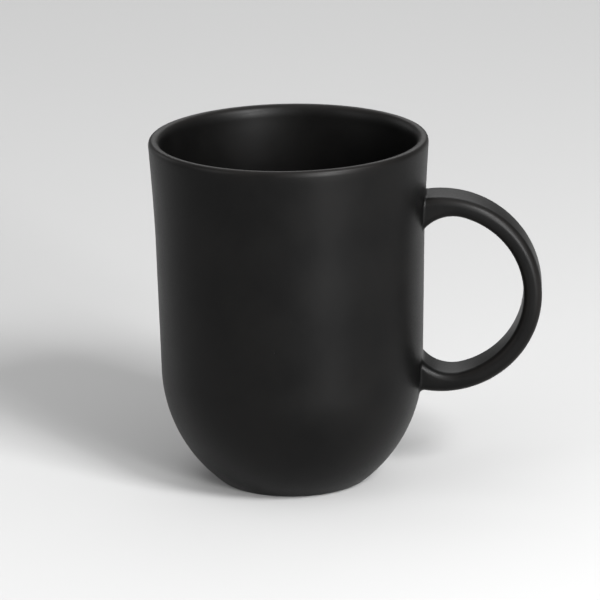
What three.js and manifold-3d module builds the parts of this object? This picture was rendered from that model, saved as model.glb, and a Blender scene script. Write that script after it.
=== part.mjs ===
// A ceramic mug with a round-bottomed cup and a ring handle, in millimetres, +Z up.
// It is made as a potter makes it: the cup and the handle are formed apart, and two pads of
// slip join the handle's ends to the cup's wall. The mug stands on z = 0, and x = y = 0 is the
// middle of its bounding box, so the cup's own axis is a little to the -X side.
import * as THREE from "three";
import { mergeVertices } from "three/addons/utils/BufferGeometryUtils.js";
import Module from "manifold-3d";

const wasm = await Module();
wasm.setup();

// Cup, outside
const rimDiameter = 85; // across the widest ring of the lip
const height = 107.6; // table to the crown of the lip
const footDiameter = 45.5; // where the bowl's curve would meet the table
const waistHeight = 35; // where the bowl's curve turns into the wall
const wallLean = 1.12; // degrees that the wall opens out on its way up
const lipFlare = 1.33; // how far the lip stands out past the leaning wall
const flareStartDrop = 31.6; // from the crown down to where the wall starts to flare
const flareBendDrop = 21.6; // from the crown down to the flare's bend
const footEdgeRun = 1.1; // how far the foot's rounded outer edge runs each way

// Lip
const lipOuterRun = 1.4; // from the widest ring in to the crown
const lipOuterDrop = 1.9; // from the crown down to the widest ring
const lipInnerDrop = 4.2; // from the crown down the rolled inner edge

// Cup, inside and underneath
const wall = 3.6;
const floorThickness = 5;
const floorFlatDiameter = 30; // the flat middle of the floor inside
const footRingWidth = 3.4; // the flat face that touches the table
const recessDepth = 2;
const recessFillet = 1.4;

// Handle
const strapWidth = 15;
const strapThickness = 5.6;
const strapEdgeRadius = 2.4;
const ringDiameter = 56.1; // along the strap's middle line
const ringStandOff = 5.2; // from the wall to the ring's centre, at the ring's height
const ringDrop = 17.6; // from the crown of the lip down to the top of the handle
const rootDepth = 3; // how much the strap thickens inwards where it meets the wall
const rootLength = 12.5; // how far along the strap the thickening reaches

// Slip joints
const slipThickness = 0.8;
const slipSpread = 0.9; // how far the slip is squeezed out round the strap
const seamGap = 0.3; // clearance at each face where two pieces meet

// Facets
const aroundCup = 48; // a multiple of four, so that the rim reaches its full width on X and Y
const aroundHandle = 54;
const aroundPad = 6;
const perCorner = 3;
const perCurve = 6;

const rimRadius = rimDiameter / 2;
const footRadius = footDiameter / 2;
const ringRadius = ringDiameter / 2;
const lean = Math.tan(THREE.MathUtils.degToRad(wallLean));
const bendHeight = height - flareBendDrop;
const bendRadius = rimRadius - lipFlare;
const floorTop = recessDepth + floorThickness;

// Radius of the straight, leaning part of the wall's outer face.
function wallRadius(z) {
  return bendRadius - (bendHeight - z) * lean;
}

// The circle that leaves the table at the foot's edge and is tangent to the wall at the waist.
function bowlCircle() {
  const waist = new THREE.Vector2(wallRadius(waistHeight), waistHeight);
  const inward = new THREE.Vector2(-1, lean).normalize();
  const toFoot = new THREE.Vector2(footRadius, 0).sub(waist);
  const radius = toFoot.lengthSq() / (2 * toFoot.dot(inward));
  return { centre: waist.addScaledVector(inward, radius), radius };
}

// Profiles run in the half plane of radius (x) and height (y).
const bowl = bowlCircle();

function bowlAngle(radius, z) {
  return Math.atan2(z - bowl.centre.y, radius - bowl.centre.x);
}

// A point of the bowl's circle, a given way above the table along its curve.
function bowlPointFromFoot(run) {
  const angle = bowlAngle(footRadius, 0) + run / bowl.radius;
  const reach = new THREE.Vector2(Math.cos(angle), Math.sin(angle)).multiplyScalar(bowl.radius);
  return { angle, point: reach.add(bowl.centre) };
}

// The cup's outer face, from the foot's edge up to the lip's widest ring.
function addOuterFace(path) {
  const edge = bowlPointFromFoot(footEdgeRun);
  path.quadraticCurveTo(footRadius, 0, edge.point.x, edge.point.y);
  const end = bowlAngle(wallRadius(waistHeight), waistHeight);
  path.absarc(bowl.centre.x, bowl.centre.y, bowl.radius, edge.angle, end, false);
  const flareStart = height - flareStartDrop;
  path.lineTo(wallRadius(flareStart), flareStart);
  path.quadraticCurveTo(bendRadius, bendHeight, rimRadius, height - lipOuterDrop);
}

// The cup's whole section: recess, foot ring, outer face, lip, inner wall, inner bowl and floor.
function cupProfile() {
  const ringOuter = footRadius - footEdgeRun;
  const ringInner = ringOuter - footRingWidth;
  const crown = rimRadius - lipOuterRun;
  const path = new THREE.Path();
  path.moveTo(0, recessDepth);
  path.lineTo(ringInner - recessFillet, recessDepth);
  path.quadraticCurveTo(ringInner, recessDepth, ringInner, recessDepth - recessFillet);
  path.lineTo(ringInner, 0);
  path.lineTo(ringOuter, 0);
  addOuterFace(path);
  path.quadraticCurveTo(rimRadius, height, crown, height);
  const innerLipHeight = height - lipInnerDrop;
  const innerLip = outerRadiusAt(innerLipHeight) - wall;
  path.quadraticCurveTo(innerLip, height, innerLip, innerLipHeight);
  const flareStart = height - flareStartDrop;
  path.quadraticCurveTo(bendRadius - wall, bendHeight, wallRadius(flareStart) - wall, flareStart);
  const innerWaist = wallRadius(waistHeight) - wall;
  path.lineTo(innerWaist, waistHeight);
  const flat = floorFlatDiameter / 2;
  path.absellipse(flat, waistHeight, innerWaist - flat, waistHeight - floorTop, 0, -Math.PI / 2, true);
  path.lineTo(0, floorTop);
  return path;
}

// The outer face as points, moved outwards by a given distance.
function outerFacePoints(offset) {
  const path = new THREE.Path();
  path.moveTo(footRadius - footEdgeRun, 0);
  addOuterFace(path);
  const points = path.getPoints(perCurve);
  return points.map((p, i) => {
    const along = new THREE.Vector2()
      .subVectors(points[Math.min(i + 1, points.length - 1)], points[Math.max(i - 1, 0)])
      .normalize();
    return new THREE.Vector2(p.x + along.y * offset, p.y - along.x * offset);
  });
}

// Radius of the cup's outer face at a height.
function outerRadiusAt(z) {
  const points = outerFacePoints(0);
  const above = Math.max(1, points.findIndex((p) => p.y >= z));
  const [low, high] = [points[above - 1], points[above]];
  return THREE.MathUtils.mapLinear(z, low.y, high.y, low.x, high.x);
}

// Turns a profile about +Z. Neighbouring points that fall together are used once.
function turned(points) {
  const clean = points.filter((p, i) => i === 0 || p.distanceTo(points[i - 1]) > 1e-3);
  return new THREE.LatheGeometry(clean, aroundCup).rotateX(Math.PI / 2);
}

// The space inside the cup's outer face, grown by a given distance: what the handle is cut by.
function cupEnvelope(offset) {
  const face = outerFacePoints(offset);
  const closed = [new THREE.Vector2(0, face[0].y), ...face, new THREE.Vector2(0, face.at(-1).y)];
  return solid(turned(closed));
}

function solid(geometry) {
  const bare = geometry.clone();
  bare.deleteAttribute("normal");
  bare.deleteAttribute("uv");
  const merged = mergeVertices(bare, 1e-4);
  const triVerts = new Uint32Array(merged.index.array);
  const vertProperties = new Float32Array(merged.attributes.position.array);
  return new wasm.Manifold(new wasm.Mesh({ numProp: 3, vertProperties, triVerts }));
}

function geometryOf(manifold) {
  const { vertProperties, triVerts } = manifold.getMesh();
  const geometry = new THREE.BufferGeometry();
  geometry.setAttribute("position", new THREE.BufferAttribute(vertProperties, 3));
  geometry.setIndex(new THREE.BufferAttribute(triVerts, 1));
  geometry.computeVertexNormals();
  return geometry;
}

// The ring's centre, in the XZ plane, measured from the cup's axis.
const ringHeight = height - ringDrop - strapThickness / 2 - ringRadius;
const ringCentre = new THREE.Vector2(outerRadiusAt(ringHeight) + ringStandOff, ringHeight);

// A stretch of the handle's middle line. Angles run from +X towards +Z.
class RingArc extends THREE.Curve {
  constructor(from, to) {
    super();
    this.from = from;
    this.to = to;
  }
  getPoint(t) {
    const angle = THREE.MathUtils.lerp(this.from, this.to, t);
    const x = ringCentre.x + ringRadius * Math.cos(angle);
    return new THREE.Vector3(x, 0, ringCentre.y + ringRadius * Math.sin(angle));
  }
}

// The angle at which the ring's middle line is a given depth inside the cup's outer face.
function angleAtDepth(depth, side) {
  let [outside, inside] = [side * (Math.PI / 2), side * Math.PI];
  for (let i = 0; i < 40; i++) {
    const middle = (outside + inside) / 2;
    const z = ringCentre.y + ringRadius * Math.sin(middle);
    const x = ringCentre.x + ringRadius * Math.cos(middle);
    if (x > outerRadiusAt(z) - depth) outside = middle;
    else inside = middle;
  }
  return inside;
}

// The strap's section, with its width along the shape's x, grown all round by a given amount.
function strapSection(grow) {
  const [w, t] = [strapWidth / 2 + grow, strapThickness / 2 + grow];
  const r = Math.min(strapEdgeRadius + grow, t);
  const shape = new THREE.Shape();
  shape.moveTo(w, -t + r);
  shape.absarc(w - r, t - r, r, 0, Math.PI / 2, false);
  shape.absarc(-w + r, t - r, r, Math.PI / 2, Math.PI, false);
  shape.absarc(-w + r, -t + r, r, Math.PI, 1.5 * Math.PI, false);
  shape.absarc(w - r, -t + r, r, 1.5 * Math.PI, 2 * Math.PI, false);
  return shape;
}

const topWall = angleAtDepth(0, 1);
const bottomWall = angleAtDepth(0, -1);

// How far the strap's inner side lies towards the ring's centre, because of its thicker roots.
function thickening(angle) {
  const toWall = Math.min(topWall - angle, angle - bottomWall) * ringRadius;
  const share = THREE.MathUtils.clamp(1 - toWall / rootLength, 0, 1);
  return rootDepth * share * share;
}

// Moves the points of the strap's inner half towards the ring's centre.
function thickenRoots(geometry) {
  const position = geometry.attributes.position;
  const flatHalf = strapThickness / 2 - strapEdgeRadius;
  for (let i = 0; i < position.count; i++) {
    const x = position.getX(i) - ringCentre.x;
    const z = position.getZ(i) - ringCentre.y;
    const reach = Math.hypot(x, z);
    const inner = THREE.MathUtils.smoothstep(ringRadius - reach, -flatHalf, flatHalf);
    const scale = 1 - (thickening(Math.atan2(z, x)) * inner) / reach;
    position.setX(i, ringCentre.x + x * scale);
    position.setZ(i, ringCentre.y + z * scale);
  }
  return geometry;
}

function strap(from, to, steps, grow) {
  const extrudePath = new RingArc(from, to);
  const shape = strapSection(grow);
  const swept = new THREE.ExtrudeGeometry(shape, { steps, extrudePath, curveSegments: perCorner });
  return solid(thickenRoots(swept));
}

// The strap runs on into the wall, so that its inner side gets there too before it is cut.
const topEnd = angleAtDepth(wall + rootDepth, 1);
const bottomEnd = angleAtDepth(wall + rootDepth, -1);
const slipOuter = seamGap + slipThickness;

function cupGeometry() {
  const path = cupProfile();
  return turned(path.getPoints(perCurve));
}

function handleGeometry() {
  const whole = strap(bottomEnd, topEnd, aroundHandle, 0);
  return geometryOf(whole.subtract(cupEnvelope(slipOuter + seamGap)));
}

// A pad of slip that follows the wall's curve: the space between two skins of the cup.
function slipGeometry(side, end) {
  const start = side * (Math.PI / 2);
  const block = strap(Math.min(start, end), Math.max(start, end), aroundPad, slipSpread);
  const pad = block.intersect(cupEnvelope(slipOuter)).subtract(cupEnvelope(seamGap));
  return geometryOf(pad);
}

const glaze = { color: 0x1b1b1b, metalness: 0 };
const materials = {
  cup: new THREE.MeshStandardMaterial({ ...glaze, roughness: 0.45 }),
  handle: new THREE.MeshStandardMaterial({ ...glaze, roughness: 0.4 }),
  slip: new THREE.MeshStandardMaterial({ ...glaze, roughness: 0.5 }),
};

function named(name, geometry, material) {
  const mesh = new THREE.Mesh(geometry, material);
  mesh.name = name;
  return mesh;
}

const mug = new THREE.Group();
mug.add(named("cup_body", cupGeometry(), materials.cup));
mug.add(named("handle", handleGeometry(), materials.handle));
mug.add(named("upper_slip_joint", slipGeometry(1, topEnd), materials.slip));
mug.add(named("lower_slip_joint", slipGeometry(-1, bottomEnd), materials.slip));

// The cup's axis moves to -X, so that the whole mug's bounding box is centred on the origin.
const handleReach = ringCentre.x + ringRadius + strapThickness / 2;
mug.position.x = (rimRadius - handleReach) / 2;

export default mug;
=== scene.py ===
# %% [markdown]
# # A satin black mug, in Blender
#
# The mug is a stoneware cup with a ring handle. A potter makes the two apart, joins them with
# slip, and glazes them together. This file follows that order: the cup is turned, the handle is
# swept round its ring, two fillets of slip close the joints, and one glaze covers everything.
#
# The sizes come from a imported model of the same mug, the frame, whose parts already stand in the
# right places. Lengths are in metres, and +Z is up.

# %% Load the frame
import math

import bmesh
import bpy
import numpy as np
from mathutils import Matrix, Vector
from mathutils.bvhtree import BVHTree


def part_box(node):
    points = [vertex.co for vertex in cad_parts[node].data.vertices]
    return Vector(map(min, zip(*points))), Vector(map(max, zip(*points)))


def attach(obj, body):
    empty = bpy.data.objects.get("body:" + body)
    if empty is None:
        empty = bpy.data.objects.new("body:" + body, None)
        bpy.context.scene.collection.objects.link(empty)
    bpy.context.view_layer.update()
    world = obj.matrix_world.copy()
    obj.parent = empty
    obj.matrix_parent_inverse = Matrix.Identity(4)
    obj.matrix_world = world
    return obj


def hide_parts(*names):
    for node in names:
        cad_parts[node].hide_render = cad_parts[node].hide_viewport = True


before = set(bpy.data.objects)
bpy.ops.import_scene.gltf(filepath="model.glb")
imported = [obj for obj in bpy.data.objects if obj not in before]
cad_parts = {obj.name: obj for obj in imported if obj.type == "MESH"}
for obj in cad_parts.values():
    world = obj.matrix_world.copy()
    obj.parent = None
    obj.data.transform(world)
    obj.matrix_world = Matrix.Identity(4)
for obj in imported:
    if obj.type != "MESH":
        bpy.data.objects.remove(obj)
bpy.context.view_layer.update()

MM = 0.001
MILLILITRE = 1e-6          # in cubic metres
MERGE_WITHIN = 1e-7        # points closer than this are one point

# %% [markdown]
# ## What the frame says
#
# Every place is worked out from the boxes of the frame's own parts. The cup is round, so the
# middle of its box is its axis, and half its width is the radius of its lip. The handle is a
# ring that is cut off by the wall, so half its height is the ring's outer radius.

# %% Measure the cup and the handle's ring
cup_low, cup_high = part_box("cup_body")
handle_low, handle_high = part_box("handle")
axis_x = (cup_low.x + cup_high.x) / 2
rim_radius = (cup_high.x - cup_low.x) / 2
height = cup_high.z
ring_outer = (handle_high.z - handle_low.z) / 2
ring_x = handle_high.x - ring_outer
ring_z = (handle_high.z + handle_low.z) / 2
strap_width = handle_high.y - handle_low.y
print(f"lip radius {rim_radius / MM:.2f} mm, height {height / MM:.2f} mm")
print(f"ring radius {ring_outer / MM:.2f} mm, {(ring_x - axis_x) / MM:.2f} mm from the axis")

# %% [markdown]
# ## Helpers for node trees
#
# Geometry Nodes trees and materials are both built in code. A tree's inputs have names for the
# reader and identifiers for Blender, so a modifier's values are set by looking up the
# identifier that goes with a name.


# %% Build and fill a node tree
def add_node(tree, kind, links=None, **settings):
    """A new node. links maps its inputs to sockets or values, settings are its properties."""
    made = tree.nodes.new(kind)
    for name, value in settings.items():
        setattr(made, name, value)
    for name, value in (links or {}).items():
        socket = made.inputs[name]
        if isinstance(value, bpy.types.NodeSocket):
            tree.links.new(value, socket)
        else:
            socket.default_value = value
    return made


def geometry_tree(name, inputs):
    """An empty Geometry Nodes tree with a geometry input, named inputs and one output."""
    tree = bpy.data.node_groups.new(name, "GeometryNodeTree")
    tree.is_modifier = True
    tree.interface.new_socket("Geometry", in_out="INPUT", socket_type="NodeSocketGeometry")
    for label, kind in inputs.items():
        tree.interface.new_socket(label, in_out="INPUT", socket_type="NodeSocket" + kind)
    tree.interface.new_socket("Geometry", in_out="OUTPUT", socket_type="NodeSocketGeometry")
    return tree


def finish_tree(tree, geometry, material):
    """Ends a tree in smooth shading, Realize Instances and Set Material."""
    smooth = add_node(tree, "GeometryNodeSetShadeSmooth", {"Geometry": geometry})
    real = add_node(tree, "GeometryNodeRealizeInstances", {"Geometry": smooth.outputs[0]})
    coated = add_node(
        tree, "GeometryNodeSetMaterial", {"Geometry": real.outputs[0], "Material": material}
    )
    add_node(tree, "NodeGroupOutput", {"Geometry": coated.outputs[0]})


def run_tree(source, tree, values, name):
    """Runs a tree on an object and keeps the result as a plain mesh object."""
    modifier = source.modifiers.new(tree.name, "NODES")
    modifier.node_group = tree
    for item in tree.interface.items_tree:
        if item.in_out == "INPUT" and item.name in values:
            modifier[item.identifier] = values[item.name]
    evaluated = source.evaluated_get(bpy.context.evaluated_depsgraph_get())
    mesh = bpy.data.meshes.new_from_object(evaluated)
    mesh.name = name
    source.modifiers.remove(modifier)
    bpy.data.objects.remove(source)
    piece = bpy.data.objects.new(name, mesh)
    bpy.context.scene.collection.objects.link(piece)
    return piece


def face_out(piece):
    """Merges doubles and turns every face outwards, and prints the piece's size."""
    work = bmesh.new()
    work.from_mesh(piece.data)
    bmesh.ops.remove_doubles(work, verts=work.verts, dist=MERGE_WITHIN)
    bmesh.ops.recalc_face_normals(work, faces=work.faces)
    if work.calc_volume(signed=True) < 0:
        bmesh.ops.reverse_faces(work, faces=work.faces)
    open_edges = sum(1 for e in work.edges if len(e.link_faces) != 2)
    volume = work.calc_volume() / MILLILITRE
    work.to_mesh(piece.data)
    work.free()
    count = len(piece.data.polygons)
    print(f"{piece.name}: {count} faces, {open_edges} open edges, {volume:.1f} ml")


# %% [markdown]
# ## The glaze
#
# The mug wears a satin black glaze. Such a glaze is full of crystals too small to see, so it
# spreads a reflection into a soft sheen, and dark oxides in it drink up the rest of the light. It
# could be one flat black, but glass that was once liquid never sets flat: it lies a little thick
# and thin, has a fine grain like an eggshell, holds a few pinholes where gas came out in the
# kiln, and draws back from sharp edges, where the clay lightens it. Noise textures make the
# first two and a texture of cells the pinholes, each at its own scale. An attribute that is
# painted on the mesh, glaze_thin, says where the edges are.
#
# The numbers are tuned, not measured. They were adjusted together with the lamps, and the
# specular level is the least physical of them: a real glaze is nearly as shiny as glass, which
# is 0.5. For another studio, start by raising it and dimming the lamps.
#
# All the textures read Object coordinates. Every piece stands at the origin, so the cup, the
# handle and the slip share one pattern, as pieces that were dipped together do.

# %% Numbers of the glaze
GLAZE_DARK = (0.0012, 0.0012, 0.0012, 1)    # where it lies thick
GLAZE_LIGHT = (0.0024, 0.0023, 0.0022, 1)   # where it lies thinner
GLAZE_EDGE = (0.0070, 0.0062, 0.0057, 1)    # where it has drawn back
GLAZE_SPECULAR = 0.115                      # tuned together with the lamps; glass is 0.5
GLAZE_ROUGHNESS = (0.38, 0.43)              # where it is thick, where it is thin
GRAIN_GLOSS = 0.03                          # how much the grain adds to or takes from that
GRAIN_SPECK = 0.15                          # and from the share of the lighter colour
LEAST_WORN = 0.55                           # share of the edge colour where the glaze is thick
NOISE_MIDDLE = (0.35, 0.65)                 # where most values of a noise texture lie
NOISE_WIDE = (0.3, 0.7)                     # and where nearly all do
POOL_SCALE = 45                             # textures repeat this many times in a metre
GRAIN_SCALE = 1500
RIPPLE_SCALE = 110
PINHOLE_SCALE = 95
PINHOLE_SHARE = 0.10                        # how many of the cells hold a pinhole
PINHOLE_SIZE = 0.035                        # in cells
GRAIN_HEIGHT = 0.006 * MM
RIPPLE_HEIGHT = 0.035 * MM
PINHOLE_DEPTH = 0.12 * MM


# %% Mix the glaze
def noise(tree, place, scale, detail=2.0, roughness=0.5):
    """A noise texture on a coordinate."""
    return add_node(tree, "ShaderNodeTexNoise", {
        "Vector": place, "Scale": scale, "Detail": detail, "Roughness": roughness,
    }).outputs[0]


def stretch(tree, value, low, high, start=0.0, end=1.0):
    """A value between low and high moved to between start and end."""
    return add_node(tree, "ShaderNodeMapRange", {
        "Value": value, "From Min": low, "From Max": high, "To Min": start, "To Max": end,
    }).outputs[0]


def blend(tree, share, first, second):
    """A colour between two colours. Sockets 0, 6 and 7 of a colour mix are its factor, A and B."""
    return add_node(
        tree, "ShaderNodeMix", {0: share, 6: first, 7: second}, data_type="RGBA",
    ).outputs[2]


def maths(tree, operation, *values):
    """One sum of a Math node."""
    return add_node(
        tree, "ShaderNodeMath", dict(enumerate(values)), operation=operation,
    ).outputs[0]


def bump(tree, height, depth, normal=None):
    """A relief of a given depth, on top of another."""
    sockets = {"Height": height, "Distance": depth, "Strength": 1.0}
    if normal is not None:
        sockets["Normal"] = normal
    return add_node(tree, "ShaderNodeBump", sockets).outputs[0]


def empty_material(name):
    """A material with its node tree, its shader and its Object coordinates."""
    material = bpy.data.materials.new(name)
    material.use_nodes = True
    tree = material.node_tree
    place = tree.nodes.new("ShaderNodeTexCoord").outputs["Object"]
    return material, tree, tree.nodes["Principled BSDF"], place


def mix_glaze():
    """The black glaze, with its pools, grain, pinholes and thin edges."""
    material, tree, shader, place = empty_material("satin_black_glaze")
    pool = stretch(tree, noise(tree, place, POOL_SCALE, detail=3), *NOISE_MIDDLE)
    grain = noise(tree, place, GRAIN_SCALE, detail=2, roughness=0.6)
    ripple = noise(tree, place, RIPPLE_SCALE, detail=1)

    cells = add_node(tree, "ShaderNodeTexVoronoi", {"Vector": place, "Scale": PINHOLE_SCALE})
    chosen = add_node(tree, "ShaderNodeSeparateColor", {"Color": cells.outputs["Color"]}).outputs[0]
    holed = maths(tree, "LESS_THAN", chosen, PINHOLE_SHARE)
    pit = stretch(tree, cells.outputs["Distance"], 0, PINHOLE_SIZE, 1, 0)
    pit = maths(tree, "MULTIPLY", pit, holed)

    thin = add_node(tree, "ShaderNodeAttribute", attribute_name="glaze_thin").outputs["Fac"]
    worn = maths(tree, "MULTIPLY", thin, stretch(tree, pool, 0, 1, LEAST_WORN, 1.0))
    speck = stretch(tree, grain, *NOISE_WIDE, -GRAIN_SPECK, GRAIN_SPECK)
    depth = maths(tree, "ADD", pool, speck)
    colour = blend(tree, depth, GLAZE_DARK, GLAZE_LIGHT)
    colour = blend(tree, worn, colour, GLAZE_EDGE)
    tree.links.new(colour, shader.inputs["Base Color"])

    gloss = maths(tree, "ADD", stretch(tree, pool, 0, 1, *GLAZE_ROUGHNESS),
                  stretch(tree, grain, *NOISE_WIDE, -GRAIN_GLOSS, GRAIN_GLOSS))
    tree.links.new(gloss, shader.inputs["Roughness"])
    shader.inputs["Specular IOR Level"].default_value = GLAZE_SPECULAR

    relief = bump(tree, ripple, RIPPLE_HEIGHT)
    relief = bump(tree, grain, GRAIN_HEIGHT, relief)
    relief = bump(tree, maths(tree, "SUBTRACT", 1.0, pit), PINHOLE_DEPTH, relief)
    tree.links.new(relief, shader.inputs["Normal"])
    print(f"{material.name}: {len(tree.nodes)} nodes")
    return material


glaze = mix_glaze()

# %% [markdown]
# ## The bare clay
#
# A pot that is glazed underneath would stick to the kiln's shelf, so the ring that it stands on
# is wiped clean before it is fired. The ring then shows the bare stoneware. How this one looks is
# assumed: dry, sandy, and stained grey by the black glaze beside it.

# %% Mix the clay
CLAY_FINE = (0.33, 0.27, 0.21, 1)
CLAY_COARSE = (0.17, 0.13, 0.10, 1)
CLAY_ROUGHNESS = (0.82, 0.95)
CLAY_SPECULAR = 0.2
STAIN_SHARE = 0.45        # of the coarse colour, where the stain is strongest
SAND_SCALE = 1900
STAIN_SCALE = 160
SAND_HEIGHT = 0.03 * MM


def mix_clay():
    """The sandy clay of the foot ring."""
    material, tree, shader, place = empty_material("bare_stoneware")
    sand = noise(tree, place, SAND_SCALE, detail=3, roughness=0.7)
    stain = stretch(tree, noise(tree, place, STAIN_SCALE, detail=4), *NOISE_WIDE)
    colour = blend(tree, stretch(tree, sand, *NOISE_MIDDLE), CLAY_COARSE, CLAY_FINE)
    colour = blend(tree, stretch(tree, stain, 0, 1, 0.0, STAIN_SHARE), colour, CLAY_COARSE)
    tree.links.new(colour, shader.inputs["Base Color"])
    rough = stretch(tree, sand, *NOISE_WIDE, *CLAY_ROUGHNESS)
    tree.links.new(rough, shader.inputs["Roughness"])
    shader.inputs["Specular IOR Level"].default_value = CLAY_SPECULAR
    tree.links.new(bump(tree, sand, SAND_HEIGHT), shader.inputs["Normal"])
    print(f"{material.name}: {len(tree.nodes)} nodes")
    return material


clay = mix_clay()

# %% [markdown]
# ## The cup
#
# A cup is thrown or cast round, so one profile says everything about it: turn the profile round
# the axis, and the cup is there. The profile is drawn as a potter's template would be cut, from
# arcs and tangent curves.

# %% Sizes of the cup's template
WALL = 3.6 * MM
WALL_LEAN = math.tan(math.radians(1.12))   # the wall opens out a little on its way up
WAIST = 35 * MM                            # the bowl's curve ends here
FOOT_RADIUS = 22.75 * MM
FOOT_EDGE = 1.1 * MM
FOOT_RING = 3.4 * MM
RECESS = 2 * MM
RECESS_FILLET = 1.4 * MM
FLOOR = 5 * MM
FLOOR_FLAT = 15 * MM
FLARE_OUT = 1.33 * MM
FLARE_START = height - 31.6 * MM
FLARE_BEND = height - 21.6 * MM
LIP_OUT = Vector((1.4, 1.9)) * MM          # how far the lip's outer edge rounds, in and down
LIP_IN = 4.2 * MM                          # how far the inner edge rolls down
bend_radius = rim_radius - FLARE_OUT

# How many points draw each stretch of the template.
EDGE_POINTS = 10           # the foot's outer edge
BOWL_POINTS = 48           # the bowl's round, outside and inside
WALL_POINTS = 20           # the leaning wall, and the flare above it
INNER_WALL_POINTS = 16
LIP_OUT_POINTS = 12
LIP_IN_POINTS = 14
FILLET_POINTS = 8          # the recess's corner
FLAT_POINTS = 12           # the flats underneath and inside


def wall_radius(z):
    """Radius of the straight part of the wall's outer face."""
    return bend_radius - (FLARE_BEND - z) * WALL_LEAN


# %% Draw curves as lists of points
def bezier(start, control, end, steps):
    """Points of a quadratic curve, without its first point."""
    a, b, c = Vector(start), Vector(control), Vector(end)
    ts = [(i + 1) / steps for i in range(steps)]
    return [a * (1 - t) ** 2 + b * 2 * t * (1 - t) + c * t * t for t in ts]


def arc(centre, radii, first, last, steps):
    """Points of an arc or an ellipse's arc, without its first point."""
    points = []
    for i in range(steps):
        angle = first + (last - first) * (i + 1) / steps
        points.append(Vector((centre[0] + radii[0] * math.cos(angle),
                              centre[1] + radii[1] * math.sin(angle))))
    return points


# %% The bowl's circle
# It leaves the table at the foot's edge and is tangent to the wall at the waist.
waist_point = Vector((wall_radius(WAIST), WAIST))
inward = Vector((-1, WALL_LEAN)).normalized()
to_foot = Vector((FOOT_RADIUS, 0)) - waist_point
bowl_radius = to_foot.length_squared / (2 * to_foot.dot(inward))
bowl_centre = waist_point + inward * bowl_radius


def bowl_angle(point):
    """The angle at which a point lies round the bowl's centre."""
    return math.atan2(point[1] - bowl_centre.y, point[0] - bowl_centre.x)


print(f"bowl radius {bowl_radius / MM:.2f} mm")


# %% The cup's outer face and its whole profile
def outer_face():
    """Points of the outer face from the foot ring's edge to the lip's widest ring."""
    start = bowl_angle((FOOT_RADIUS, 0)) + FOOT_EDGE / bowl_radius
    edge = bowl_centre + Vector((math.cos(start), math.sin(start))) * bowl_radius
    points = [Vector((FOOT_RADIUS - FOOT_EDGE, 0))]
    points += bezier(points[-1], (FOOT_RADIUS, 0), edge, EDGE_POINTS)
    radii = (bowl_radius, bowl_radius)
    points += arc(bowl_centre, radii, start, bowl_angle(waist_point), BOWL_POINTS)
    points += bezier(points[-1], (wall_radius(FLARE_START) / 2 + points[-1].x / 2,
                                  FLARE_START / 2 + points[-1].y / 2),
                     (wall_radius(FLARE_START), FLARE_START), WALL_POINTS)
    lip_edge = (rim_radius, height - LIP_OUT.y)
    points += bezier(points[-1], (bend_radius, FLARE_BEND), lip_edge, WALL_POINTS)
    return points


outer_points = outer_face()


def outer_radius(z):
    """Radius of the cup's outer face at a height."""
    return float(np.interp(z, [p.y for p in outer_points], [p.x for p in outer_points]))


def cup_profile():
    """The closed section of the cup, from the axis underneath to the axis inside."""
    ring_inner = FOOT_RADIUS - FOOT_EDGE - FOOT_RING
    points = [Vector((0, RECESS))]
    for i in range(FLAT_POINTS):
        points.append(Vector(((ring_inner - RECESS_FILLET) * (i + 1) / FLAT_POINTS, RECESS)))
    fillet_end = (ring_inner, RECESS - RECESS_FILLET)
    points += bezier(points[-1], (ring_inner, RECESS), fillet_end, FILLET_POINTS)
    points += [Vector((ring_inner, 0))]
    points += outer_points
    crown = Vector((rim_radius - LIP_OUT.x, height))
    points += bezier(points[-1], (rim_radius, height), crown, LIP_OUT_POINTS)
    inner_lip = outer_radius(height - LIP_IN) - WALL
    points += bezier(crown, (inner_lip, height), (inner_lip, height - LIP_IN), LIP_IN_POINTS)
    points += bezier(points[-1], (bend_radius - WALL, FLARE_BEND),
                     (wall_radius(FLARE_START) - WALL, FLARE_START), WALL_POINTS)
    waist = Vector((wall_radius(WAIST) - WALL, WAIST))
    points += bezier(points[-1], (points[-1] + waist) / 2, waist, INNER_WALL_POINTS)
    bottom = RECESS + FLOOR
    radii = (waist.x - FLOOR_FLAT, WAIST - bottom)
    points += arc((FLOOR_FLAT, WAIST), radii, 0, -math.pi / 2, BOWL_POINTS)
    for i in range(FLAT_POINTS):
        points.append(Vector((FLOOR_FLAT * (1 - (i + 1) / FLAT_POINTS), bottom)))
    return points


profile = cup_profile()
print(f"the cup's profile has {len(profile)} points")

# %% Turn the profile
STEPS_AROUND = 256
WHEEL_RADIUS = 1e-6      # the wheel has to be a ring, so it is a very small one
WELD = 5e-6              # joins the points that the wheel left round the axis


def upright_curve(name, points):
    """A curve object of straight stretches through points (radius, height)."""
    data = bpy.data.curves.new(name, "CURVE")
    data.dimensions = "3D"
    spline = data.splines.new("POLY")
    spline.points.add(len(points) - 1)
    for point, p in zip(spline.points, points):
        point.co = (p[0], 0, p[1], 1)
    curve = bpy.data.objects.new(name, data)
    bpy.context.scene.collection.objects.link(curve)
    return curve


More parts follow.
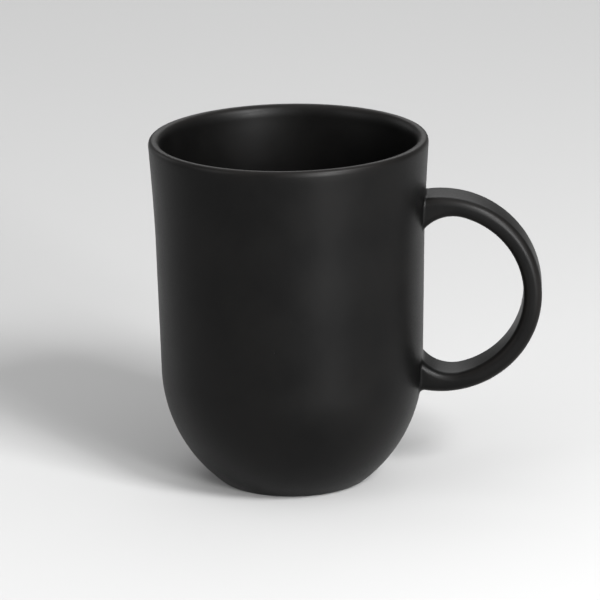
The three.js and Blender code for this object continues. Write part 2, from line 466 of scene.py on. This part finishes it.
def wheel_tree():
    """Turns the incoming profile round the Z axis, as a wheel does, and moves it to its axis."""
    tree = geometry_tree(
        "turn_on_the_wheel",
        {"Steps around": "Int", "Axis": "Vector", "Glaze": "Material"},
    )
    given = tree.nodes.new("NodeGroupInput").outputs
    # A sweep reads a profile that lies flat, so the upright one is tipped over first.
    flat = add_node(tree, "GeometryNodeTransform", {"Geometry": given["Geometry"]})
    flat.inputs["Rotation"].default_value = (math.pi / 2, 0, 0)
    wheel = add_node(
        tree, "GeometryNodeCurvePrimitiveCircle",
        {"Resolution": given["Steps around"], "Radius": WHEEL_RADIUS},
    )
    swept = add_node(
        tree, "GeometryNodeCurveToMesh",
        {"Curve": wheel.outputs["Curve"], "Profile Curve": flat.outputs[0]},
    )
    placed = add_node(tree, "GeometryNodeTransform", {"Geometry": swept.outputs[0]})
    tree.links.new(given["Axis"], placed.inputs["Translation"])
    merged = add_node(
        tree, "GeometryNodeMergeByDistance", {"Geometry": placed.outputs[0], "Distance": WELD}
    )
    finish_tree(tree, merged.outputs[0], given["Glaze"])
    return tree


cup = run_tree(
    upright_curve("cup_profile", profile), wheel_tree(),
    {"Steps around": STEPS_AROUND, "Axis": (axis_x, 0, 0), "Glaze": glaze}, "cup",
)
face_out(cup)


# %% Wipe the foot ring, and thin the glaze at the lip
THIN_AT_LIP = 2.6 * MM     # how far from the lip's crown the glaze is thin
THIN_AT_FOOT = 1.2 * MM
WIPED_BELOW = 0.02 * MM
CLAY_SLOT = 1


def paint_thin(piece, thinness):
    """Writes glaze_thin, from 0 to 1, at each point of a piece."""
    values = [min(1.0, max(0.0, thinness(vertex.co))) for vertex in piece.data.vertices]
    layer = piece.data.attributes.new("glaze_thin", "FLOAT", "POINT")
    layer.data.foreach_set("value", values)
    print(f"{piece.name}: the glaze is thin over {sum(values) / len(values):.0%} of its points")


def thin_on_cup(p):
    """1 on the lip's crown and on the foot's edge, 0 away from them."""
    radius = math.hypot(p.x - axis_x, p.y)
    to_lip = math.hypot(radius - (rim_radius - LIP_OUT.x), p.z - height) / THIN_AT_LIP
    to_foot = math.hypot(radius - (FOOT_RADIUS - FOOT_EDGE), p.z) / THIN_AT_FOOT
    return max(1 - to_lip, 1 - to_foot)


paint_thin(cup, thin_on_cup)
cup.data.materials.append(clay)
corner_heights = [vertex.co.z for vertex in cup.data.vertices]
wiped = 0
for face in cup.data.polygons:
    if all(corner_heights[i] < WIPED_BELOW for i in face.vertices):
        face.material_index = CLAY_SLOT
        wiped += 1
print(f"the foot ring is wiped over {wiped} faces")

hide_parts("cup_body")
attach(cup, "root")

# %% [markdown]
# ## The handle
#
# The handle is a flat strap bent round a ring. A sweep along an arc makes it: one rounded
# rectangle carried round the ring, with its ends sunk a little into the wall, so that no gap
# shows. The real strap isn't even all the way. It thickens on its inner side where it meets the
# cup, because that is where it would snap. A sweep keeps one section throughout, so the
# thickening is added afterwards, by moving the points of the inner side by a rule.

# %% Sizes of the strap
STRAP_THICKNESS = 5.6 * MM
STRAP_EDGE = 2.4 * MM
SUNK = 1.8 * MM          # how deep the strap's ends sit in the wall
ROOT_DEPTH = 3.0 * MM    # how much the strap thickens inwards at the wall
ROOT_LENGTH = 12.5 * MM  # how far along the strap the thickening reaches
STRAP_STEPS = 220        # points along the strap
CORNER_STEPS = 10        # points round each edge of its section
HALVINGS = 40            # steps in the search for the wall
LINE_DIGITS = 7          # decimals of a metre that tell two lines along the strap apart
ring_radius = ring_outer - STRAP_THICKNESS / 2


# %% Where the strap meets the wall
def on_ring(angle, across=0.0, out=0.0):
    """A point at an angle round the ring, across the strap, and out from its middle line."""
    reach = ring_radius + out
    return Vector((ring_x + reach * math.cos(angle), across, ring_z + reach * math.sin(angle)))


def meeting_angle(line, side, across=0.0, out=0.0, depth=0.0):
    """The angle at which a line along the strap is a given depth inside the cup's outer face.

    The search starts between a quarter and a third of a turn, and halves that stretch.
    """
    outside, inside = side * math.pi / 2, side * math.pi * 2 / 3
    for _ in range(HALVINGS):
        middle = (outside + inside) / 2
        p = line(middle, across, out)
        if math.hypot(p.x - axis_x, p.y) > outer_radius(p.z) - depth:
            outside = middle
        else:
            inside = middle
    return inside


top_end = meeting_angle(on_ring, 1)
bottom_end = meeting_angle(on_ring, -1)
print(f"the strap meets the wall at {math.degrees(top_end):.1f} degrees "
      f"and {math.degrees(bottom_end):.1f} degrees round the ring")


# %% The thicker roots
def thickening(angle, out):
    """How far a point of the strap lies towards the ring's middle, because of the roots."""
    to_end = min(top_end - angle, angle - bottom_end) * ring_radius
    flat_half = STRAP_THICKNESS / 2 - STRAP_EDGE
    share = min(1, max(0, (flat_half - out) / (2 * flat_half)))
    return ROOT_DEPTH * share * max(0, 1 - to_end / ROOT_LENGTH) ** 2


def on_strap(angle, across=0.0, out=0.0):
    """The same point as on_ring's, with the roots thickened."""
    return on_ring(angle, across, out - thickening(angle, out))


# %% Sweep the strap
def strap_tree():
    """A rounded rectangle swept along an arc that stands in the XZ plane."""
    tree = geometry_tree("bend_the_strap", {
        "Ring radius": "Float", "Start": "Float", "Sweep": "Float", "Ring centre": "Vector",
        "Width": "Float", "Thickness": "Float", "Edge radius": "Float", "Glaze": "Material",
    })
    given = tree.nodes.new("NodeGroupInput").outputs
    ring = add_node(tree, "GeometryNodeCurveArc", {
        "Resolution": STRAP_STEPS, "Radius": given["Ring radius"],
        "Start Angle": given["Start"], "Sweep Angle": given["Sweep"],
    })
    section = add_node(tree, "GeometryNodeCurvePrimitiveQuadrilateral", {
        "Width": given["Thickness"], "Height": given["Width"],
    })
    rounded = add_node(tree, "GeometryNodeFilletCurve", {
        "Curve": section.outputs[0], "Radius": given["Edge radius"], "Count": CORNER_STEPS,
    }, mode="POLY")
    swept = add_node(tree, "GeometryNodeCurveToMesh", {
        "Curve": ring.outputs["Curve"], "Profile Curve": rounded.outputs[0], "Fill Caps": True,
    })
    stood = add_node(tree, "GeometryNodeTransform", {
        "Geometry": swept.outputs[0], "Rotation": (math.pi / 2, 0, 0),
        "Translation": given["Ring centre"],
    })
    finish_tree(tree, stood.outputs[0], given["Glaze"])
    return tree


handle = run_tree(upright_curve("handle_start", [(0, 0), (0, MM)]), strap_tree(), {
    "Ring radius": ring_radius, "Start": bottom_end, "Sweep": top_end - bottom_end,
    "Ring centre": (ring_x, 0, ring_z), "Width": strap_width, "Thickness": STRAP_THICKNESS,
    "Edge radius": STRAP_EDGE, "Glaze": glaze,
}, "handle_strap")


# %% Cut the ends to the wall and thicken the roots
def fit_strap(piece):
    """Moves each point along the strap, so that both ends follow the wall, then inwards."""
    ends = {}
    for vertex in piece.data.vertices:
        x, across, z = vertex.co.x - ring_x, vertex.co.y, vertex.co.z - ring_z
        out = math.hypot(x, z) - ring_radius
        line = (round(across, LINE_DIGITS), round(out, LINE_DIGITS))
        if line not in ends:
            ends[line] = [meeting_angle(on_strap, side, across, out, SUNK) for side in (-1, 1)]
        along = (math.atan2(z, x) - bottom_end) / (top_end - bottom_end)
        first, last = ends[line]
        vertex.co = on_strap(first + (last - first) * along, across, out)
    print(f"the strap's section has {len(ends)} points")


fit_strap(handle)
face_out(handle)


# %% Thin the glaze along the strap's edges
THIN_ON_STRAP = 1.5 * MM     # how far from an edge's middle the glaze is thin
EDGE_THINNESS = 0.6


def thin_on_strap(p):
    """EDGE_THINNESS on the middle of the strap's four rounded edges, less away from them."""
    out = abs(math.hypot(p.x - ring_x, p.z - ring_z) - ring_radius)
    corner = STRAP_EDGE * (1 - math.sqrt(0.5))
    across_gap = strap_width / 2 - corner - abs(p.y)
    out_gap = STRAP_THICKNESS / 2 - corner - out
    return EDGE_THINNESS * (1 - math.hypot(across_gap, out_gap) / THIN_ON_STRAP)


paint_thin(handle, thin_on_strap)
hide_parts("handle")
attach(handle, "root")

# %% [markdown]
# ## The slip joints
#
# The handle is stuck on with slip, which is clay let down with water. It squeezes out all round
# the ends of the strap, and a wet finger smooths it into a small hollow fillet. Under the lower
# end it sags and is thicker.
#
# A fillet is a ring of short curves. Round the strap's section, at each of a row of points, one
# curve starts on the strap, bends where strap and wall meet, and ends on the wall. Joining each
# curve to the next gives the visible face, and three more points, sunk into the clay, close the
# ring behind it.

# %% Fillets of slip
FILLET = 1.0 * MM             # how far a fillet reaches along the strap and along the wall
UNDER_STRAP = 1.9 * MM        # and under the lower end, where the slip sags
UNDER_WALL = 2.8 * MM
AROUND = 128
CORNER_SHARE = 10              # one point in ten goes round each corner
FILLET_STEPS = 12
SEAT = 0.5 * MM                # how deep the closing points sit in the clay


def fillet_reach(side, n_out):
    """Reach along the strap and along the wall, for a direction out of the ring."""
    sag = max(0, n_out) if side < 0 else 0
    return FILLET + (UNDER_STRAP - FILLET) * sag, FILLET + (UNDER_WALL - FILLET) * sag


def section_outline(count):
    """Points and outward directions round the strap's section, as (across, out)."""
    w, t, r = strap_width / 2 - STRAP_EDGE, STRAP_THICKNESS / 2 - STRAP_EDGE, STRAP_EDGE
    corners = [(w, t, 0), (-w, t, math.pi / 2), (-w, -t, math.pi), (w, -t, 1.5 * math.pi)]
    sides = [((w + r, -t), (w + r, t)), ((w, t + r), (-w, t + r)),
             ((-w - r, t), (-w - r, -t)), ((-w, -t - r), (w, -t - r))]
    outline = []
    for (cx, cy, turn), (start, end) in zip(corners, sides):
        normal = Vector((math.cos(turn), math.sin(turn)))
        length = (Vector(end) - Vector(start)).length
        straight = max(2, round(count * length / (4 * (w + t) + 2 * math.pi * r)))
        for i in range(straight):
            outline.append((Vector(start).lerp(Vector(end), i / straight), normal))
        bend = count // CORNER_SHARE
        for i in range(bend):
            angle = turn + math.pi / 2 * i / bend
            direction = Vector((math.cos(angle), math.sin(angle)))
            outline.append((Vector((cx, cy)) + direction * r, direction))
    return outline


def wall_point(p):
    """The point of the cup's outer face at p's height and bearing."""
    flat = Vector((p.x - axis_x, p.y))
    flat *= outer_radius(p.z) / flat.length
    return Vector((axis_x + flat.x, flat.y, p.z))


def joint_mesh(name, side):
    """A collar whose outer face runs from the strap to the wall in a hollow curve."""
    rows = []
    for (across, out), (n_across, n_out) in section_outline(AROUND):
        angle = meeting_angle(on_strap, side, across, out)
        along_strap, along_wall = fillet_reach(side, n_out)
        hit = on_strap(angle, across, out)
        start = on_strap(angle - side * along_strap / (ring_radius + out), across, out)
        spread = Vector((n_out * math.cos(angle), n_across, n_out * math.sin(angle)))
        end = wall_point(hit + spread * along_wall)
        axis_ward = Vector((axis_x - hit.x, -hit.y, 0)).normalized()
        row = [start] + [Vector(p) for p in bezier(start, hit, end, FILLET_STEPS)]
        row += [end + axis_ward * SEAT, hit + (axis_ward - spread) * SEAT, start - spread * SEAT]
        rows.append(row)
    count, size = len(rows), len(rows[0])
    verts = [p for row in rows for p in row]
    faces = []
    for i in range(count):
        for j in range(size):
            a, b = i * size + j, i * size + (j + 1) % size
            c, d = ((i + 1) % count) * size + (j + 1) % size, ((i + 1) % count) * size + j
            faces.append((a, b, c, d))
    mesh = bpy.data.meshes.new(name)
    mesh.from_pydata(verts, [], faces)
    mesh.shade_smooth()
    mesh.materials.append(glaze)
    # The hidden edges are creased, so that they don't pull the shading of the visible face.
    sharp = mesh.attributes.new("sharp_edge", "BOOLEAN", "EDGE")
    hidden = {0, *range(FILLET_STEPS, size)}
    for edge in mesh.edges:
        a, b = edge.vertices
        if a % size == b % size and a % size in hidden:
            sharp.data[edge.index].value = True
    piece = bpy.data.objects.new(name, mesh)
    bpy.context.scene.collection.objects.link(piece)
    return piece


for name, side in (("upper_slip_joint", 1), ("lower_slip_joint", -1)):
    joint = joint_mesh(name + "_fillet", side)
    face_out(joint)
    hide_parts(name)
    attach(joint, "root")

# %% [markdown]
# ## How close the pieces are to the frame
#
# The pieces were drawn afresh, with finer curves than the frame's own parts, so it is worth
# measuring how far they stray. A BVH tree finds the nearest point of a surface quickly. Each
# point of a piece is asked how far it lies from the part that the piece stands in for. The
# strap's ends are left out: they go on into the wall, where the frame's handle stops short of
# it to make room for the slip.


# %% Measure how far each piece strays from its part
CLEAR_OF_WALL = 2 * MM


def stray(points, node):
    """The mean and the largest distance of points from a part's surface, in millimetres."""
    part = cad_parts[node].data
    surface = BVHTree.FromPolygons(
        [vertex.co for vertex in part.vertices],
        [face.vertices for face in part.polygons],
    )
    gaps = [surface.find_nearest(point)[3] / MM for point in points]
    return sum(gaps) / len(gaps), max(gaps)


cup_points = [vertex.co for vertex in cup.data.vertices]
strap_points = []
for vertex in handle.data.vertices:
    p = vertex.co
    if math.hypot(p.x - axis_x, p.y) > outer_radius(p.z) + CLEAR_OF_WALL:
        strap_points.append(p)

for points, node in (cup_points, "cup_body"), (strap_points, "handle"):
    mean_gap, largest_gap = stray(points, node)
    print(f"{node}: {len(points)} points lie {mean_gap:.3f} mm off on average, "
          f"{largest_gap:.2f} at most")

# %% [markdown]
# ## The floor
#
# A plain matt floor, a soft grey that the lights bring up to a pale one. It does more than carry
# the mug's shadow. Most of what the glaze reflects from below is floor, so a paler floor washes
# the black out. It has no gloss of its own, or the lights would show in it.

# %% Floor
FLOOR_SIZE = 3.6
FLOOR_GREY = 0.42
FLOOR_ROUGHNESS = 0.9


def make_floor():
    """A square floor at the height of the mug's foot."""
    half = FLOOR_SIZE / 2
    corners = [(-half, -half, 0), (half, -half, 0), (half, half, 0), (-half, half, 0)]
    data = bpy.data.meshes.new("floor")
    data.from_pydata(corners, [], [(0, 1, 2, 3)])
    floor = bpy.data.objects.new("floor", data)
    bpy.context.scene.collection.objects.link(floor)
    paper = bpy.data.materials.new("pale_paper")
    paper.use_nodes = True
    sockets = paper.node_tree.nodes["Principled BSDF"].inputs
    sockets["Base Color"].default_value = (FLOOR_GREY, FLOOR_GREY, FLOOR_GREY, 1)
    sockets["Roughness"].default_value = FLOOR_ROUGHNESS
    sockets["Specular IOR Level"].default_value = 0.0
    data.materials.append(paper)
    return floor


floor = make_floor()
print(f"the floor is {FLOOR_SIZE} m across")

# %% [markdown]
# ## The light
#
# Nearly all the light that leaves a black glaze is reflection. Its own colour hardly shows, and
# the mug's shape is read from where the lights are mirrored in it. The boxes' places and powers
# were fitted for the front view and then tuned, which is why some are odd numbers. This
# is what each one draws:
#
# - the key is small, tall and low, in front and to the right. A low light is mirrored over the
#   wall's whole height, and a small one keeps the long highlight narrow;
# - a wider, weaker box next to it softens the highlight's sides;
# - two boxes on the left lift that side and draw its edge;
# - one high box on the right reaches over the lip into the bowl, where the hollow wall turns its
#   reflection to the left of the middle;
# - one behind skims the upward faces: the lip, the top of the handle and the inside of its
#   lower half;
# - a large one overhead lights the floor and softens the shadows. The floor still comes out
#   brighter on the right than on the left.
#
# A weak, even world light fills in the rest. The boxes aren't seen by the camera, so
# that none of them stands in the picture when the mug is looked at from another side.

# %% Light
WORLD_STRENGTH = 0.3
world = bpy.data.worlds.new("studio")
bpy.context.scene.world = world
world.use_nodes = True
world.node_tree.nodes["Background"].inputs["Color"].default_value = (1, 1, 1, 1)
world.node_tree.nodes["Background"].inputs["Strength"].default_value = WORLD_STRENGTH

middle = Vector((axis_x, 0, height / 2))


def direction(azimuth, elevation):
    """A unit vector from the mug. Azimuth 0 is the camera's side, 90 the handle's."""
    return Vector((math.sin(azimuth) * math.cos(elevation),
                   -math.cos(azimuth) * math.cos(elevation),
                   math.sin(elevation)))


def softbox(name, azimuth, elevation, distance, size, watts):
    """A rectangular light that faces the mug, with its angles in degrees."""
    data = bpy.data.lights.new(name, "AREA")
    data.shape = "RECTANGLE"
    data.size, data.size_y = size
    data.energy = watts
    lamp = bpy.data.objects.new(name, data)
    out = direction(math.radians(azimuth), math.radians(elevation))
    lamp.location = middle + out * distance
    lamp.rotation_euler = out.to_track_quat("Z", "Y").to_euler()
    lamp.visible_camera = False
    bpy.context.scene.collection.objects.link(lamp)
    print(f"{name}: {watts} W, {size[0]} by {size[1]} m, {distance} m away")


softbox("key", 34, 11, 1.3, (0.26, 0.50), 24)
softbox("key_spread", 12, 18, 1.5, (0.80, 0.80), 3)
softbox("left_fill", -60, 22, 1.5, (0.80, 0.80), 6)
softbox("left_edge", -120, 17, 1.5, (0.80, 0.80), 2.4)
softbox("back", 176, 32, 1.5, (1.00, 0.60), 4)
softbox("bowl", 43, 40, 1.4, (0.40, 0.40), 27)
softbox("overhead", 0, 90, 3.0, (4.00, 4.00), 60)

# %% [markdown]
# ## The camera
#
# The camera looks down into the cup from far off, through a long lens. Its distance is
# given in lip radii. Its angles and its aim were fitted and then adjusted, so they
# aren't round numbers, and it leans by a degree. A camera looks along its own -Z, so the three
# columns of its matrix are its right, its up and the direction back towards it.

# %% Camera
CAMERA_AZIMUTH = math.radians(2.9)
CAMERA_ELEVATION = math.radians(16.65)
CAMERA_ROLL = math.radians(-0.97)
CAMERA_DISTANCE = 30 * rim_radius
CAMERA_LENS = 249.8                             # mm
SENSOR_WIDTH = 36                               # mm
AIM_RIGHT = 0.0641 * rim_radius                 # how far from the axis it aims
AIM_HEIGHT = 1.316 * rim_radius

backward = direction(CAMERA_AZIMUTH, CAMERA_ELEVATION)
level_right = Vector((math.cos(CAMERA_AZIMUTH), math.sin(CAMERA_AZIMUTH), 0))
level_up = backward.cross(level_right)
right = level_right * math.cos(CAMERA_ROLL) + level_up * math.sin(CAMERA_ROLL)
up = level_up * math.cos(CAMERA_ROLL) - level_right * math.sin(CAMERA_ROLL)

lens = bpy.data.cameras.new("camera")
lens.lens = CAMERA_LENS
lens.sensor_width = SENSOR_WIDTH
camera = bpy.data.objects.new("camera", lens)
camera.matrix_world = Matrix((right, up, backward)).transposed().to_4x4()
camera.location = Vector((axis_x + AIM_RIGHT, 0, AIM_HEIGHT)) + backward * CAMERA_DISTANCE
bpy.context.scene.collection.objects.link(camera)
bpy.context.scene.camera = camera
bpy.context.scene.view_settings.view_transform = "Standard"
print(f"the camera stands {CAMERA_DISTANCE:.2f} m away, with a {CAMERA_LENS} mm lens")
